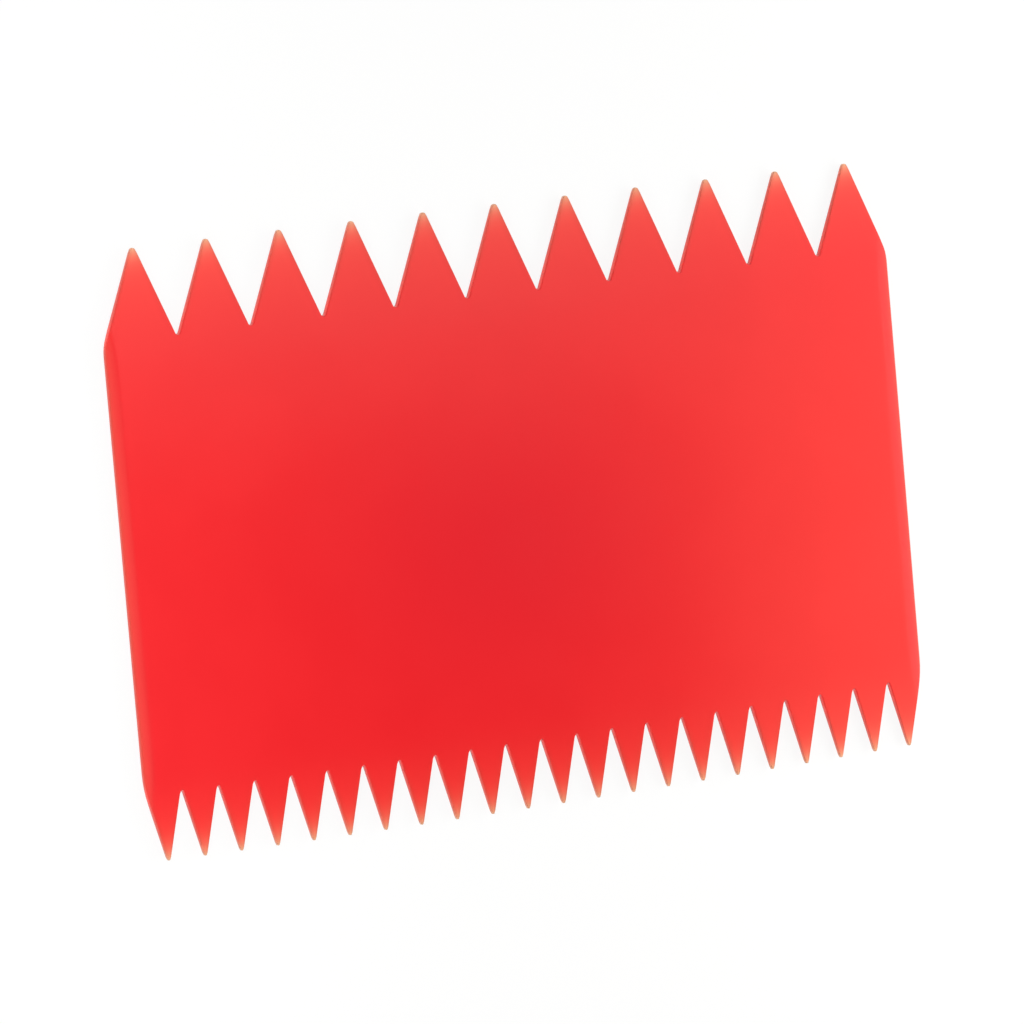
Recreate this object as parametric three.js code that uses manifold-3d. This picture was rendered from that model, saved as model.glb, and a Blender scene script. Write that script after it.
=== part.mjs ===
// A double-edged cake comb: one moulded plastic plate, with coarse teeth along one long edge and fine
// teeth along the other. It lies flat. X runs along the rows of teeth, Y from the fine teeth to the
// coarse ones, and Z up from the face that the comb lies on. The origin is on that face, under the
// middle of the comb's overall size. Millimetres.

import * as THREE from 'three';
import { mergeVertices } from 'three/addons/utils/BufferGeometryUtils.js';
import Module from 'manifold-3d';

// Plate
const combWidth = 110;
const bodyHeight = 55.2; // between the two rows of valleys, at the middle
const plateThickness = 1.2;

// Coarse teeth. Depths run between the sharp corners that the tip and root arcs then round off.
// A row bows out slightly: its middle stands this far beyond its ends.
const coarsePitch = 10;
const coarseDepth = 12.6;
const coarseBow = 0.17;
const coarseTipRadius = 0.44;
const coarseRootRadius = 0.32;
const coarseTipThickness = 0.5;

// Fine teeth
const finePitch = 5;
const fineDepth = 10;
const fineBow = 0.55;
const fineTipRadius = 0.24;
const fineRootRadius = 0.25;
const fineTipThickness = 0.5;

// Smooth sides, bevelled on both faces, and the blunt corners where they meet the outermost teeth
const sideThickness = 0.6;
const sideBevel = 1.5;
const coarseCornerRadius = 6;
const fineCornerRadius = 15;

// The plate starts to thin this far inside each row of valleys
const taperInset = 2;

// Straight steps in half of each rounded corner
const arcSteps = 3;

const halfWidth = combWidth / 2;
const midThickness = plateThickness / 2;
const coarseRootY = bodyHeight / 2;
const coarseTipY = coarseRootY + coarseDepth;
const fineRootY = -bodyHeight / 2;
const fineTipY = fineRootY - fineDepth;

const wasm = await Module();
wasm.setup();

function toSolid(geometry) {
  const bare = geometry.clone();
  bare.deleteAttribute('normal');
  bare.deleteAttribute('uv');
  const merged = mergeVertices(bare);
  return new wasm.Manifold(new wasm.Mesh({
    numProp: 3,
    vertProperties: new Float32Array(merged.attributes.position.array),
    triVerts: new Uint32Array(merged.index.array),
  }));
}

function toGeometry(solid) {
  const { vertProperties, triVerts } = solid.getMesh();
  const geometry = new THREE.BufferGeometry();
  geometry.setAttribute('position', new THREE.BufferAttribute(vertProperties, 3));
  geometry.setIndex(new THREE.BufferAttribute(triVerts, 1));
  const faceted = geometry.toNonIndexed();
  faceted.computeVertexNormals();
  return faceted;
}

function corner(x, y, radius) {
  return { point: new THREE.Vector2(x, y), radius };
}

// The sharp corners of one row of teeth, from the left side of the comb to its right. As many teeth as
// fit best are centred on the width. The outermost two are cut a little short by the sides, or have a
// straight shoulder beside them.
function toothRow({ pitch, rootY, tipY, bow, tipRadius, rootRadius, cornerRadius }) {
  const count = Math.round(combWidth / pitch);
  const start = -count * pitch / 2;
  const shoulder = start + halfWidth;
  const outward = Math.sign(tipY - rootY);
  const bowed = (x, y, radius) => corner(x, y - outward * bow * (x / halfWidth) ** 2, radius);
  const corners = [bowed(-halfWidth, rootY, cornerRadius)];
  for (let tooth = 0; tooth <= count; tooth += 1) {
    const rootX = start + tooth * pitch;
    const atEnd = tooth === 0 || tooth === count;
    if (!atEnd || shoulder > rootRadius) {
      corners.push(bowed(rootX, rootY, rootRadius));
    }
    if (tooth < count) {
      corners.push(bowed(rootX + pitch / 2, tipY, tipRadius));
    }
  }
  corners.push(bowed(halfWidth, rootY, cornerRadius));
  return corners;
}

// A closed outline, counter-clockwise, with an arc at each corner. An arc ends by the middle of its
// shorter side.
function roundedOutline(corners) {
  const outline = new THREE.Shape();
  corners.forEach(({ point, radius }, index) => {
    const before = corners.at(index - 1).point.clone().sub(point);
    const after = corners[(index + 1) % corners.length].point.clone().sub(point);
    const room = Math.min(before.length(), after.length()) / 2;
    before.normalize();
    after.normalize();
    const halfAngle = before.angleTo(after) / 2;
    const reach = Math.min(radius / Math.tan(halfAngle), room);
    const fitted = reach * Math.tan(halfAngle);
    const inward = before.clone().add(after).normalize();
    const centre = point.clone().addScaledVector(inward, fitted / Math.sin(halfAngle));
    const from = point.clone().addScaledVector(before, reach).sub(centre).angle();
    const to = point.clone().addScaledVector(after, reach).sub(centre).angle();
    const clockwise = before.cross(after) > 0;
    outline.absarc(centre.x, centre.y, fitted, from, to, clockwise);
  });
  return outline;
}

// The flat outline of the comb, thicker than the plate so that the tapers below cut both faces
function blank() {
  const coarseRow = toothRow({
    pitch: coarsePitch,
    rootY: coarseRootY,
    tipY: coarseTipY,
    bow: coarseBow,
    tipRadius: coarseTipRadius,
    rootRadius: coarseRootRadius,
    cornerRadius: coarseCornerRadius,
  });
  const fineRow = toothRow({
    pitch: finePitch,
    rootY: fineRootY,
    tipY: fineTipY,
    bow: fineBow,
    tipRadius: fineTipRadius,
    rootRadius: fineRootRadius,
    cornerRadius: fineCornerRadius,
  });
  const outline = roundedOutline([...fineRow, ...coarseRow.reverse()]);
  const geometry = new THREE.ExtrudeGeometry(outline, {
    depth: 2 * plateThickness,
    bevelEnabled: false,
    curveSegments: arcSteps,
  });
  return geometry.translate(0, 0, midThickness - plateThickness);
}

// A long bar with the given section, laid along one axis of the comb
function bar(section, length, across, up) {
  const shape = new THREE.Shape(section.map(([a, b]) => new THREE.Vector2(a, b)));
  const geometry = new THREE.ExtrudeGeometry(shape, { depth: length, bevelEnabled: false });
  geometry.translate(0, 0, -length / 2);
  const along = across.clone().cross(up);
  return geometry.applyMatrix4(new THREE.Matrix4().makeBasis(across, up, along));
}

// The plate seen end on: full thickness in the body, thinning on both faces to the tips of each row
function toothTaper() {
  const lower = [
    [fineTipY, midThickness - fineTipThickness / 2],
    [fineRootY + taperInset, 0],
    [coarseRootY - taperInset, 0],
    [coarseTipY, midThickness - coarseTipThickness / 2],
  ];
  const upper = lower.map(([y, z]) => [y, plateThickness - z]).reverse();
  return bar([...lower, ...upper], 2 * combWidth, new THREE.Vector3(0, 1, 0), new THREE.Vector3(0, 0, 1));
}

// The plate seen along its sides: the bevels run on past both faces, so they only cut the edges
function sideTaper() {
  const beyond = plateThickness - sideThickness / 2;
  const right = [
    [halfWidth - 2 * sideBevel, midThickness - beyond],
    [halfWidth, midThickness - sideThickness / 2],
    [halfWidth, midThickness + sideThickness / 2],
    [halfWidth - 2 * sideBevel, midThickness + beyond],
  ];
  const left = right.map(([x, z]) => [-x, z]).reverse();
  const overallHeight = coarseTipY - fineTipY;
  return bar([...right, ...left], 2 * overallHeight, new THREE.Vector3(1, 0, 0), new THREE.Vector3(0, 0, 1));
}

function combPlate() {
  const solid = toSolid(blank()).intersect(toSolid(toothTaper())).intersect(toSolid(sideTaper()));
  const geometry = toGeometry(solid);
  geometry.computeBoundingBox();
  const middle = geometry.boundingBox.getCenter(new THREE.Vector3());
  const redPlastic = new THREE.MeshStandardMaterial({ color: 0xf73434, roughness: 0.35, metalness: 0 });
  const plate = new THREE.Mesh(geometry, redPlastic);
  plate.name = 'comb_plate';
  plate.position.y = -middle.y;
  return plate;
}

const comb = new THREE.Group();
comb.add(combPlate());

export default comb;
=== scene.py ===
import math

import bpy
import numpy as np
from mathutils import Matrix, Vector


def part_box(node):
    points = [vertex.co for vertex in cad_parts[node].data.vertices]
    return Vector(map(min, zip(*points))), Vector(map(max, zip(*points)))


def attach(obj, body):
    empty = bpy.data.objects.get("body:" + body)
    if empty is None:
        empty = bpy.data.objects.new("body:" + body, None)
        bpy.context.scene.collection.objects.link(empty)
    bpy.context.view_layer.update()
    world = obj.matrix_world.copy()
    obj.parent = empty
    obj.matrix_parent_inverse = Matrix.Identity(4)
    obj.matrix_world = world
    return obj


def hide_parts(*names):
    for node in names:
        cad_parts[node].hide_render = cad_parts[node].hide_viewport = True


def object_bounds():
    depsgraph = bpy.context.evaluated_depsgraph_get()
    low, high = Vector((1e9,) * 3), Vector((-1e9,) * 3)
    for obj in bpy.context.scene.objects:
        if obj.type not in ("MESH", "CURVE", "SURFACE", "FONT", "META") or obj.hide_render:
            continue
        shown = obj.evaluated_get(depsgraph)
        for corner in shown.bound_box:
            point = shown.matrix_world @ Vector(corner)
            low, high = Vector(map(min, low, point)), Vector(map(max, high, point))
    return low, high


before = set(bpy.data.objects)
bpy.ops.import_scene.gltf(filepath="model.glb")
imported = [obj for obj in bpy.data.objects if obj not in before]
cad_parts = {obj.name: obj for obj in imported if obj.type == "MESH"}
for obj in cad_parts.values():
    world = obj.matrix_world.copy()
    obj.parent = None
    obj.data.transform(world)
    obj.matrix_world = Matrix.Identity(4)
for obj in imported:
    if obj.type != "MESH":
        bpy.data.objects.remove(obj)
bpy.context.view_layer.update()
scene = bpy.context.scene
mm = 0.001


# Shader sums written as plain expressions: a Wire is one socket of a material's node tree
class Wire:
    def __init__(self, tree, socket=None):
        self.tree = tree
        self.socket = socket

    def node(self, kind, settings=None, inputs=None, output=0):
        made = self.tree.nodes.new(kind)
        for name, value in (settings or {}).items():
            setattr(made, name, value)
        for name, value in (inputs or {}).items():
            self.feed(made.inputs[name], value)
        return Wire(self.tree, made.outputs[output])

    def feed(self, plug, value):
        if isinstance(value, Wire):
            self.tree.links.new(value.socket, plug)
        else:
            plug.default_value = value

    def maths(self, operation, first, second=0.0):
        return self.node("ShaderNodeMath", {"operation": operation}, {0: first, 1: second})

    def mixColour(self, share, first, second):
        return self.node("ShaderNodeMix", {"data_type": "RGBA"}, {0: share, 6: first, 7: second}, output=2)

    def noise(self, place, size, detail=2.0):
        inputs = {"Vector": place, "Scale": 1 / (size * mm), "Detail": detail}
        return self.node("ShaderNodeTexNoise", None, inputs)

    # nought below the first value, one above the second, with a smooth step between
    def smoothStep(self, value, start, end):
        step = {"interpolation_type": "SMOOTHSTEP"}
        return self.node("ShaderNodeMapRange", step, {"Value": value, 1: start, 2: end, 3: 0.0, 4: 1.0})

    def ray(self, kind):
        return self.node("ShaderNodeLightPath", output=kind)

    def __add__(self, other):
        return self.maths("ADD", self, other)

    def __radd__(self, other):
        return self.maths("ADD", other, self)

    def __sub__(self, other):
        return self.maths("SUBTRACT", self, other)

    def __rsub__(self, other):
        return self.maths("SUBTRACT", other, self)

    def __mul__(self, other):
        return self.maths("MULTIPLY", self, other)

    def __rmul__(self, other):
        return self.maths("MULTIPLY", other, self)


# Sizes of the comb in millimetres. The teeth, thicknesses and bevels are as its solid has them. A row's tip
# reach is the length over which the light let in at its tips fades by a factor of e.
combSizes = {
    "coarse": {
        "pitch": 10.0, "depth": 12.6, "bow": 0.17,
        "tipRadius": 0.44, "rootRadius": 0.32, "cornerRadius": 6.0, "tipReach": 0.82,
    },
    "fine": {
        "pitch": 5.0, "depth": 10.0, "bow": 0.55,
        "tipRadius": 0.24, "rootRadius": 0.25, "cornerRadius": 15.0, "tipReach": 0.93,
    },
    "drift": 0.18,  # the cooled rows run in by this much at their right ends and out at their left
    "tipThickness": 0.5,
    "taperInset": 2.0,  # the plate starts to thin this far inside the valleys
    "taperBlend": 1.5,  # width over which a taper starts, so that it leaves no crease
    "sideThickness": 0.6,
    "sideBevel": 1.5,
    "bevelBlend": 0.2,
    "rimShare": 0.25,  # how far in from the outline the edge is rounded, as a share of half the thickness
    "tipRimShare": 0.7,  # the same near a tip, as a share of the way to the tooth's middle line
    "rimSquareness": 2.4,  # 2 is a round edge, more is a squarer one
    "waveHeight": 0.02,  # slow unevenness of the cooled moulding
    "waveLength": 47.0,
    "wavePhases": (0.8, -0.5, 2.1),  # of the waves along, across and aslant, in radians
    "acrossTurns": 0.9,  # turns of the wave across for each turn of the one along
    "slantedTurns": 1.7,
    "slant": (0.6, 0.8),  # direction of the slanted wave
    "lightReach": 0.35,  # thickness over which light shining through fades by a factor of e
    "edgeReach": 0.22,  # width of the painted edge shade and of the duller gloss at the edges
    "plainRoots": 0.4,  # share of a tooth, from its valley, over which the painted edge shade and duller gloss start
    "centreShadeMiddle": (0.0, -4.0),  # middle of the painted shade that darkens the plate's centre
    "centreShadeReach": (25.0, 18.0),  # how far it reaches along and across the plate
    "stepsPerCell": 12,  # columns between neighbouring tips and valleys
    "bunching": 0.85,  # how far the columns crowd towards these, from 0 to 1
    "rows": 60,
    "rimSteps": 14,
}


# One row of teeth, measured outwards from the comb's middle
class ToothRow:
    def __init__(self, sizes, outward, halfWidth, reach):
        self.outward = outward
        self.halfWidth = halfWidth
        self.pitch, self.depth, self.bow = sizes["pitch"], sizes["depth"], sizes["bow"]
        self.tip, self.root, self.blunt = sizes["tipRadius"], sizes["rootRadius"], sizes["cornerRadius"]
        self.tipReach = sizes["tipReach"]
        self.angle = math.atan2(self.pitch / 2, self.depth)  # between a flank and the tooth's middle line
        self.sharpTip = reach + self.tip * (1 / math.sin(self.angle) - 1)
        self.sharpRoot = self.sharpTip - self.depth
        self.count = round(2 * halfWidth / self.pitch)

    def fromTip(self, x):
        return (x + self.count * self.pitch / 2) % self.pitch - self.pitch / 2

    # A row's ends stand back from its middle by the bow, as a parabola over the width, and by the drift
    def standBack(self, x):
        share = x / self.halfWidth
        return self.bow * share**2 + combSizes["drift"] * share

    # The outline over columns x: an arc over each tip, straight flanks, an arc in each valley, and a blunt
    # arc where the outermost flank meets the side. The lean is the sideways part of the outward normal: it
    # grows evenly over each arc and stays at the flank's own value between them.
    def outline(self, x):
        fromTip = self.fromTip(x)
        aside = np.abs(fromTip)
        fromValley = self.pitch / 2 - aside
        fromSide = self.halfWidth - np.abs(x)
        endWidth = self.halfWidth - (self.count - 1) * self.pitch / 2
        atEnd = fromSide < endWidth
        flank = math.cos(self.angle)
        slope = 1 / math.tan(self.angle)
        tip, root, blunt = self.tip, self.root, self.blunt
        onBlunt = atEnd & (fromSide < blunt * (1 - flank))
        lean = np.minimum(aside / tip, flank)
        leanAtEnd = np.where(onBlunt, 1 - fromSide / blunt, lean)
        lean = np.where(atEnd, leanAtEnd, np.minimum(lean, fromValley / root))
        tipArc = self.sharpTip - tip / math.sin(self.angle) + np.sqrt(np.maximum(tip**2 - aside**2, 0))
        valleyDip = np.sqrt(np.maximum(root**2 - fromValley**2, 0))
        valleyArc = self.sharpRoot + root / math.sin(self.angle) - valleyDip
        bluntRise = np.sqrt(np.maximum(blunt**2 - (blunt - fromSide) ** 2, 0))
        bluntArc = bluntRise - blunt * math.tan(self.angle / 2)
        height = np.where(aside < tip * flank, tipArc, self.sharpTip - aside * slope)
        height = np.where(~atEnd & (fromValley < root * flank), valleyArc, height)
        height = np.where(onBlunt, self.sharpTip - endWidth * slope + bluntArc, height)
        upright = np.sqrt(np.maximum(1 - lean**2, 0))
        normal = np.stack([np.sign(fromTip) * lean, self.outward * upright], -1)
        return np.stack([x, self.outward * (height - self.standBack(x))], -1), normal

    # How far back from the line of sharp tips a point lies
    def behindTips(self, x, y):
        return self.sharpTip - self.outward * y - self.standBack(x)

    # How far a point lies inside the row: square to the nearer flank in a tooth, and from the nearest
    # valley's point where it lies deeper than the teeth
    def inside(self, x, y):
        aside = np.abs(self.fromTip(x))
        behind = self.behindTips(x, y)
        inTooth = behind * math.sin(self.angle) - aside * math.cos(self.angle)
        belowTooth = np.hypot((self.pitch / 2 - aside) * math.cos(self.angle), behind - self.depth)
        return np.where(behind < self.depth, inTooth, belowTooth)

    # How much of the light let in at the tips reaches a point
    def tipLight(self, x, y):
        return np.exp(-np.maximum(self.behindTips(x, y), 0) / self.tipReach)

    # How much painted edge shade and duller gloss a point gets: fading by a factor of e over the reach of
    # an edge, and none in the sheltered valleys
    def edgeShadeAndWear(self, x, y):
        outOfValley = (1 - self.behindTips(x, y) / self.depth) / combSizes["plainRoots"]
        fade = np.exp(-np.maximum(self.inside(x, y), 0) / combSizes["edgeReach"])
        return fade * np.clip(outOfValley, 0, 1)


# A ramp that starts softly: nought before the start, then rising evenly, with a blend of the given width
# between them. It is half the sum of the distance and the hypotenuse of distance and blend.
def softRamp(distance, blend):
    return (distance + np.sqrt(distance**2 + blend**2)) / 2


# Half the plate's thickness at each point: full in the body, thinning evenly to both rows of tips and to
# the sides
def halfThickness(x, y, thickness, toothRows):
    s = combSizes
    full = thickness / 2
    half = np.full_like(x, full)
    for row in toothRows:
        length = row.depth + s["taperInset"]
        past = softRamp(row.outward * y - row.sharpTip + length, s["taperBlend"])
        half = np.minimum(half, full - past * (full - s["tipThickness"] / 2) / length)
    past = softRamp(np.abs(x) - toothRows[0].halfWidth + s["sideBevel"], s["bevelBlend"])
    return np.minimum(half, full - past * (full - s["sideThickness"] / 2) / s["sideBevel"])


# Slow unevenness of the plate, as a cooled moulding has: two crossed sine waves and a slanted one half as
# high, which together stay within the wave height
def plateWave(x, y):
    s = combSizes
    turn = 2 * math.pi / s["waveLength"]
    along, across, aslant = s["wavePhases"]
    slantX, slantY = s["slant"]
    crossed = np.sin(turn * x + along) * np.cos(s["acrossTurns"] * turn * y + across)
    slanted = np.sin(s["slantedTurns"] * turn * (slantX * x + slantY * y) + aslant)
    return s["waveHeight"] * (crossed + slanted / 2) / 1.5


# The comb as one closed skin. Columns run from row to row and bunch at every tip and valley. Each column is
# a straight blend from the fine outline to the coarse one, both drawn in by the rim's depth. The upper and
# lower faces are that grid moved up and down by half the thickness, and the rim is a rounded profile
# carried round the grid's border.
def combSkin():
    s = combSizes
    low, high = (np.array(corner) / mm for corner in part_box("comb_plate"))
    halfWidth, reach, thickness = high[0], high[1], high[2] - low[2]
    middle = (low[2] + high[2]) / 2
    fineRow = ToothRow(s["fine"], -1, halfWidth, reach)
    coarseRow = ToothRow(s["coarse"], 1, halfWidth, reach)
    toothRows = (fineRow, coarseRow)

    cell = s["fine"]["pitch"] / 2
    cells = fineRow.count
    step = np.linspace(-cells, cells, 2 * cells * s["stepsPerCell"] + 1)
    bunched = step - s["bunching"] * np.sin(2 * math.pi * step) / (2 * math.pi)
    x = np.unique(np.clip(bunched * cell, -halfWidth, halfWidth))
    border = []
    for row in toothRows:
        outline, normal = row.outline(x)
        rim = s["rimShare"] * halfThickness(*outline.T, thickness, toothRows)
        rim = np.minimum(rim, s["tipRimShare"] * row.behindTips(*outline.T) * math.sin(row.angle))
        border.append((outline - rim[:, None] * normal, normal, rim))
    (fineLine, fineNormal, fineRim), (coarseLine, coarseNormal, coarseRim) = border
    share = (1 - np.cos(math.pi * np.linspace(0, 1, s["rows"] + 1))) / 2
    flat = fineLine[:, None] + share[None, :, None] * (coarseLine - fineLine)[:, None]
    half = halfThickness(flat[..., 0], flat[..., 1], thickness, toothRows)
    level = middle + plateWave(flat[..., 0], flat[..., 1])
    columns, rows = half.shape

    # the border of the grid, walked anticlockwise seen from above, with its outward normals and rim depths
    index = np.arange(columns * rows).reshape(columns, rows)
    walk = np.concatenate([index[:-1, 0], index[-1, :-1], index[:0:-1, -1], index[0, :0:-1]])
    rightwards = np.tile((1.0, 0.0), (rows - 1, 1))
    outwards = np.concatenate([fineNormal[:-1], rightwards, coarseNormal[:0:-1], -rightwards])
    sideRim = halfWidth - np.abs(flat[[-1, 0], :, 0])
    rim = np.concatenate([fineRim[:-1], sideRim[0, :-1], coarseRim[:0:-1], sideRim[1, :0:-1]])
    angle = np.linspace(math.pi / 2, -math.pi / 2, s["rimSteps"] + 1)[1:-1]
    power = 2 / s["rimSquareness"]
    stepOut = np.cos(angle)[:, None] ** power * rim[None]
    rise = np.sign(np.sin(angle)) * np.abs(np.sin(angle)) ** power
    startFlat = flat.reshape(-1, 2)[walk]
    startHalf, startLevel = half.ravel()[walk], level.ravel()[walk]
    rimFlat = startFlat[None] + stepOut[..., None] * outwards[None]
    rimLevel = startLevel[None] + rise[:, None] * startHalf[None]

    places = np.concatenate([
        np.dstack([flat, level + half]).reshape(-1, 3),
        np.dstack([flat, level - half]).reshape(-1, 3),
        np.dstack([rimFlat, rimLevel]).reshape(-1, 3),
    ])
    quad = np.stack([index[:-1, :-1], index[1:, :-1], index[1:, 1:], index[:-1, 1:]], -1).reshape(-1, 4)
    under = columns * rows
    rimIndex = 2 * under + np.arange(len(angle) * len(walk)).reshape(len(angle), len(walk))
    ring = np.concatenate([walk[None], rimIndex, walk[None] + under])
    onward = np.roll(ring, -1, axis=1)
    band = np.stack([ring[:-1], ring[1:], onward[1:], onward[:-1]], -1).reshape(-1, 4)
    faces = np.concatenate([quad, quad[:, ::-1] + under, band])

    # light through the thin plastic, light let in at the tips, painted shade and duller gloss at the edges,
    # and a bell of painted shade over the plate's middle
    allX, allY = places[:, 0], places[:, 1]
    rimHalf = np.abs(rise)[:, None] * startHalf
    localHalf = np.concatenate([half.ravel(), half.ravel(), rimHalf.ravel()])
    sideEdgeShadeAndWear = np.exp((np.abs(allX) - halfWidth) / s["edgeReach"])
    fromCentreShade = (places[:, :2] - s["centreShadeMiddle"]) / s["centreShadeReach"]
    marks = {
        "thin": np.exp(-np.maximum(2 * localHalf - s["tipThickness"], 0) / s["lightReach"]),
        "tip": np.max([row.tipLight(allX, allY) for row in toothRows], axis=0),
        "edge": np.max([sideEdgeShadeAndWear] + [row.edgeShadeAndWear(allX, allY) for row in toothRows], axis=0),
        "centreShade": np.exp(-np.sum(fromCentreShade**2, axis=1)),
    }
    return places * mm, faces, marks


def meshFromArrays(name, places, faces, attributes):
    mesh = bpy.data.meshes.new(name)
    mesh.vertices.add(len(places))
    mesh.vertices.foreach_set("co", places.astype(np.float32).ravel())
    mesh.loops.add(faces.size)
    mesh.loops.foreach_set("vertex_index", faces.astype(np.int32).ravel())
    mesh.polygons.add(len(faces))
    mesh.polygons.foreach_set("loop_start", np.arange(0, faces.size, faces.shape[1], dtype=np.int32))
    mesh.polygons.foreach_set("use_smooth", np.ones(len(faces), dtype=bool))
    for attributeName, values in attributes.items():
        layer = mesh.attributes.new(attributeName, "FLOAT", "POINT")
        layer.data.foreach_set("value", values.astype(np.float32))
    mesh.update(calc_edges=True)
    mesh.validate()
    return mesh


def addObject(name, data):
    made = bpy.data.objects.new(name, data)
    scene.collection.objects.link(made)
    return made


# What the moulded plastic looks like. Colours are linear light, lengths are millimetres.
plasticLook = {
    "bodyRed": (0.825, 0.0086, 0.0176, 1.0),
    "deepRed": (0.805, 0.0068, 0.0160, 1.0),  # where the pigment lies a little thicker
    "centreShadeRed": (0.735, 0.0062, 0.0210, 1.0),  # painted shade: the plate's middle darker, as the light falls there
    "thinRed": (1.0, 0.0086, 0.0174, 1.0),  # thin plastic passes on the white under it
    # painted shade along the edges
    "edgeShadeBrown": (0.42, 0.06, 0.03, 1.0),
    "edgeShade": 0.45,  # how far the edges go towards that brown, as painted shade
    "tipOrange": (0.82, 0.55, 0.32, 1.0),  # where light shines through the thinnest plastic
    "thinGlow": 0.113,  # how far thin plastic goes towards that orange
    "tipGlow": 1.85,  # the same at the sharp tips, of which the rounded ones keep a part
    "cloudSize": 14.0,
    "cloudBand": (0.35, 0.65),  # levels of the noise between which a cloud fades in
    "roughness": 0.22,
    "smudgeSize": 11.0,
    "smudgeDepth": 0.05,
    "edgeWear": 0.1,  # edges are rubbed a little duller
    "scratchLength": 9.0,
    "scratchWidth": 0.16,
    "scratchTurns": (0.6, -1.2),  # radians from the rows of teeth
    "scratchBand": (0.66, 0.76),
    "patchBand": (0.45, 0.65),
    "scratchDulls": 0.025,
    "peelSize": 0.35,
    "peelHeight": 0.0006,
}


# Hairline scratches from handling: noise drawn out along one direction, kept to patches of the surface
def scratchMask(wire, place, turn):
    look = plasticLook
    squeeze = (look["scratchWidth"] / look["scratchLength"], 1.0, 1.0)
    laid = {"Vector": place, "Rotation": (0.0, 0.0, turn), "Scale": squeeze}
    drawn = wire.node("ShaderNodeMapping", None, laid)
    lines = wire.smoothStep(wire.noise(drawn, look["scratchWidth"], detail=1.0), *look["scratchBand"])
    patches = wire.smoothStep(wire.noise(place, 2 * look["scratchLength"]), *look["patchBand"])
    return lines * patches


def redPlastic():
    look = plasticLook
    material = bpy.data.materials.new("red_plastic")
    material.use_nodes = True
    shader = material.node_tree.nodes["Principled BSDF"]
    wire = Wire(material.node_tree)
    place = wire.node("ShaderNodeTexCoord", output="Object")
    thin = wire.node("ShaderNodeAttribute", {"attribute_name": "thin"}, output="Fac")
    tip = wire.node("ShaderNodeAttribute", {"attribute_name": "tip"}, output="Fac")
    edge = wire.node("ShaderNodeAttribute", {"attribute_name": "edge"}, output="Fac")
    centreShade = wire.node("ShaderNodeAttribute", {"attribute_name": "centreShade"}, output="Fac")
    firstTurn, secondTurn = look["scratchTurns"]
    scratches = scratchMask(wire, place, firstTurn) + scratchMask(wire, place, secondTurn)
    scratches = scratches * (1 - edge)

    clouds = wire.smoothStep(wire.noise(place, look["cloudSize"], detail=3.0), *look["cloudBand"])
    red = wire.mixColour(clouds, look["bodyRed"], look["deepRed"])
    # painted shade: the plate's middle goes darker red
    red = wire.mixColour(centreShade, red, look["centreShadeRed"])
    red = wire.mixColour(thin, red, look["thinRed"])
    glow = wire.maths("MINIMUM", look["thinGlow"] * thin + look["tipGlow"] * tip, 1.0)
    red = wire.mixColour(glow, red, look["tipOrange"])
    # painted shade: the edges go towards brown
    wire.feed(shader.inputs["Base Color"], wire.mixColour(look["edgeShade"] * edge, red, look["edgeShadeBrown"]))

    smudge = wire.noise(place, look["smudgeSize"], detail=3.0) - 0.5  # noise runs round one half
    dull = look["roughness"] + smudge * look["smudgeDepth"] + edge * look["edgeWear"]
    dull = dull + scratches * look["scratchDulls"]
    wire.feed(shader.inputs["Roughness"], dull)

    relief = wire.noise(place, look["peelSize"], detail=1.0) * look["peelHeight"]
    bump = wire.node("ShaderNodeBump", None, {"Height": relief, "Distance": mm, "Strength": 1.0})
    wire.feed(shader.inputs["Normal"], bump)
    return material


def makeComb():
    places, faces, marks = combSkin()
    comb = addObject("comb", meshFromArrays("comb", places, faces, marks))
    comb.data.materials.append(redPlastic())
    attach(comb, "root")
    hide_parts("comb_plate")
    print("comb:", len(places), "points,", 2 * len(faces), "triangles")


# Camera fitted to the photograph's outline: a long lens, high over the comb and to its left
cameraView = {
    "place": (-552.906, 125.775, 1121.866),  # millimetres
    "aim": (-1.162, -0.646, 0.6),
    "roll": 96.583,  # degrees about the line of sight
    "focalPixels": 10000.0,
    "picturePixels": 1024.0,
    "sensor": 36.0,
    "clip": (50.0, 50000.0),  # nearest and farthest that is drawn
}


def makeCamera():
    view = cameraView
    lens = bpy.data.cameras.new("camera")
    lens.sensor_width = view["sensor"]
    lens.lens = view["focalPixels"] * view["sensor"] / view["picturePixels"]
    place, aim = Vector(view["place"]) * mm, Vector(view["aim"]) * mm
    lens.clip_start, lens.clip_end = (distance * mm for distance in view["clip"])
    camera = addObject("camera", lens)
    turn = (aim - place).to_track_quat("-Z", "Y").to_matrix()
    turn = turn @ Matrix.Rotation(math.radians(view["roll"]), 3, "Z")
    camera.matrix_world = Matrix.Translation(place) @ turn.to_4x4()
    scene.camera = camera
    print("camera: lens", round(lens.lens, 1), "mm,", round((aim - place).length / mm), "mm away")


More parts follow.
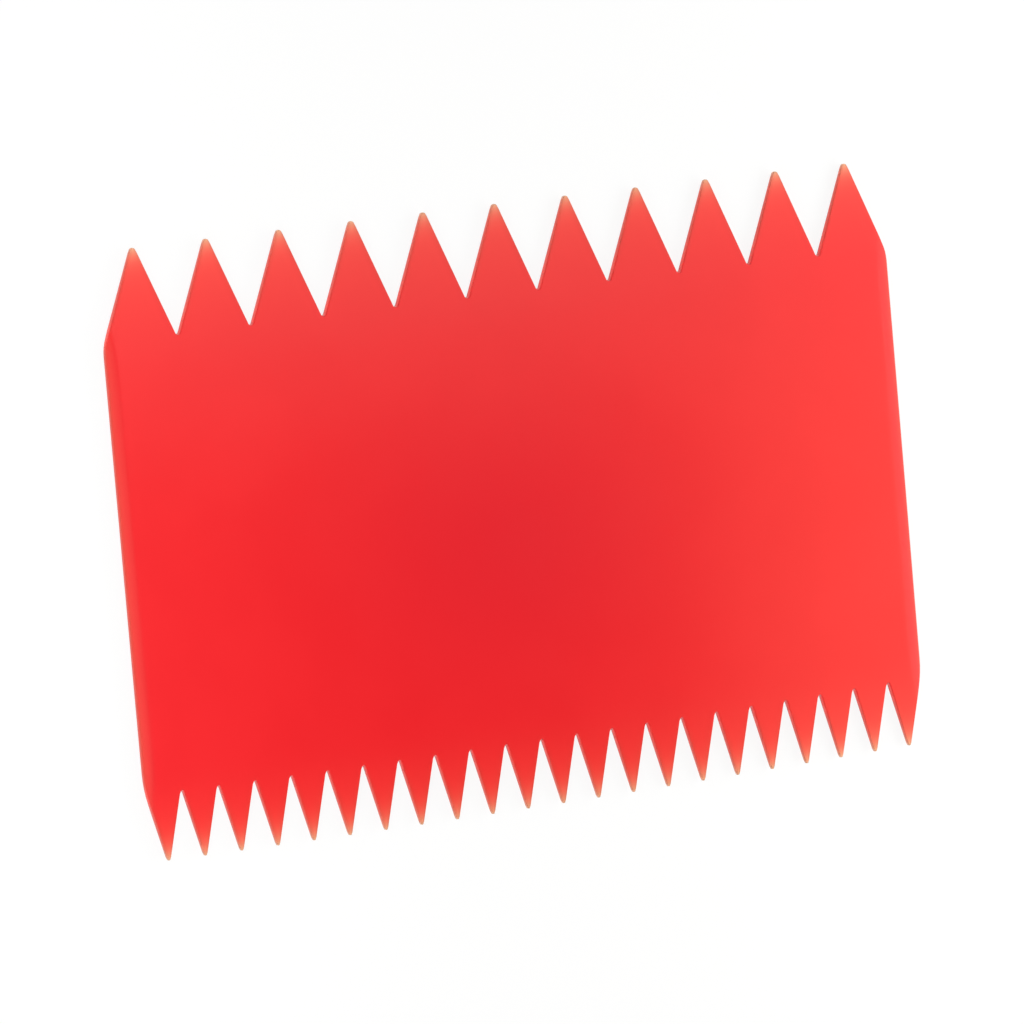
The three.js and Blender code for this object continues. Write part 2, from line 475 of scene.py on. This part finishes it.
# The studio in millimetres: a white floor, a pale ring of light round the horizon, and soft boxes of even
# brightness, where 1 is white. Each box has its middle, the spot it faces, its two sides, its brightness
# and its tint. The plate's gloss mirrors some of them, and the others only lift its colour.
studioLook = {
    "floorWhite": (0.95, 0.95, 0.95, 1.0),
    "floorRoughness": 0.9,
    "floorSize": 8000.0,
    "floorGap": 0.01,  # the floor lies this far under the plate
    "floorGlow": 0.9,  # share of plain white in what is seen of the floor, the rest is its light and shadow
    "ringTop": (0.42, 0.6),  # sines of the heights between which the ring of light fades out
    "ringMirrored": 0.4,  # share of the ring that gloss shows, so that the plate stays red from low down
    "softBoxes": {
        "rightPanel": {
            "middle": (192, -112, 194), "faces": (192, -112, 0), "sides": (126, 217),
            "shine": 1.06, "tint": (1.0, 1.0, 0.66), "mirrored": True,
        },
        "topPanel": {
            "middle": (122, 60, 194), "faces": (122, 60, 0), "sides": (265, 127),
            "shine": 1.0, "tint": (1.0, 1.0, 0.88), "mirrored": True,
        },
        "midPanel": {
            "middle": (5, -84, 194), "faces": (5, -84, 0), "sides": (80, 132),
            "shine": 0.23, "tint": (1.0, 1.0, 1.0), "mirrored": True,
        },
        "bevelPanel": {
            "middle": (-45, -50, 194), "faces": (-45, -50, 0), "sides": (44, 130),
            "shine": 0.75, "tint": (1.0, 0.95, 0.75), "mirrored": True,
        },
        "leftPanel": {
            "middle": (-80, 0, 61), "faces": (-30, 0, 0), "sides": (60, 260),
            "shine": 1.7, "tint": (1.0, 1.0, 1.0), "mirrored": False,
        },
        "rightStrip": {
            "middle": (156, -30, 60), "faces": (30, -30, 0), "sides": (80, 260),
            "shine": 4.8, "tint": (1.0, 1.0, 1.0), "mirrored": False,
        },
        "frontStrip": {
            "middle": (0, -300, 123), "faces": (0, -20, 0), "sides": (260, 80),
            "shine": 0.992, "tint": (1.0, 1.0, 1.0), "mirrored": False,
        },
    },
}


def makeSoftBox(name, box):
    lamp = bpy.data.lights.new(name, "AREA")
    lamp.shape = "RECTANGLE"
    lamp.size, lamp.size_y = (side * mm for side in box["sides"])
    lamp.energy = box["shine"] * math.pi * lamp.size * lamp.size_y  # its power spreads over half a sphere
    lamp.color = box["tint"]
    middle, facing = Vector(box["middle"]) * mm, Vector(box["faces"]) * mm
    away = (middle - facing).normalized()
    first = (Vector((1, 0, 0)) - away * away.x).normalized()
    turn = Matrix((first, away.cross(first), away)).transposed()
    made = addObject(name, lamp)
    made.visible_camera = False
    made.visible_glossy = box["mirrored"]
    made.matrix_world = Matrix.Translation(middle) @ turn.to_4x4()


def makeFloor():
    look = studioLook
    half = look["floorSize"] * mm / 2
    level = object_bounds()[0].z - look["floorGap"] * mm
    square = half * np.array([(-1, -1), (1, -1), (1, 1), (-1, 1)])
    corners = np.column_stack([square, np.full(len(square), level)])
    floor = addObject("floor", meshFromArrays("floor", corners, np.array([[0, 1, 2, 3]]), {}))
    white = bpy.data.materials.new("floor_white")
    white.use_nodes = True
    shader = white.node_tree.nodes["Principled BSDF"]
    shader.inputs["Base Color"].default_value = look["floorWhite"]
    shader.inputs["Roughness"].default_value = look["floorRoughness"]
    shader.inputs["Specular IOR Level"].default_value = 0.0
    wire = Wire(white.node_tree)
    seen = wire.maths("MAXIMUM", wire.ray("Is Camera Ray"), wire.ray("Is Glossy Ray"))
    seen = wire.maths("MAXIMUM", seen, wire.ray("Is Transmission Ray"))
    glow = wire.node("ShaderNodeEmission", None, {"Color": (1, 1, 1, 1), "Strength": 1.0})
    lit = Wire(white.node_tree, shader.outputs["BSDF"])
    surface = wire.node("ShaderNodeMixShader", None, {0: seen * look["floorGlow"], 1: lit, 2: glow})
    wire.feed(white.node_tree.nodes["Material Output"].inputs["Surface"], surface)
    floor.data.materials.append(white)


def makeStudio():
    look = studioLook
    makeFloor()
    for name, box in look["softBoxes"].items():
        makeSoftBox(name, box)
    world = bpy.data.worlds.new("studio")
    scene.world = world
    world.use_nodes = True
    background = world.node_tree.nodes["Background"]
    wire = Wire(world.node_tree)
    towards = wire.node("ShaderNodeTexCoord", output="Generated")
    height = wire.node("ShaderNodeSeparateXYZ", None, {"Vector": towards}, output="Z")
    background.inputs["Color"].default_value = (1, 1, 1, 1)
    shown = 1 - wire.ray("Is Glossy Ray") * (1 - look["ringMirrored"])
    wire.feed(background.inputs["Strength"], shown * (1 - wire.smoothStep(height, *look["ringTop"])))
    print("studio: floor, ring of light and", len(look["softBoxes"]), "soft boxes")


makeComb()
makeCamera()
makeStudio()
scene.view_settings.view_transform = "Standard"
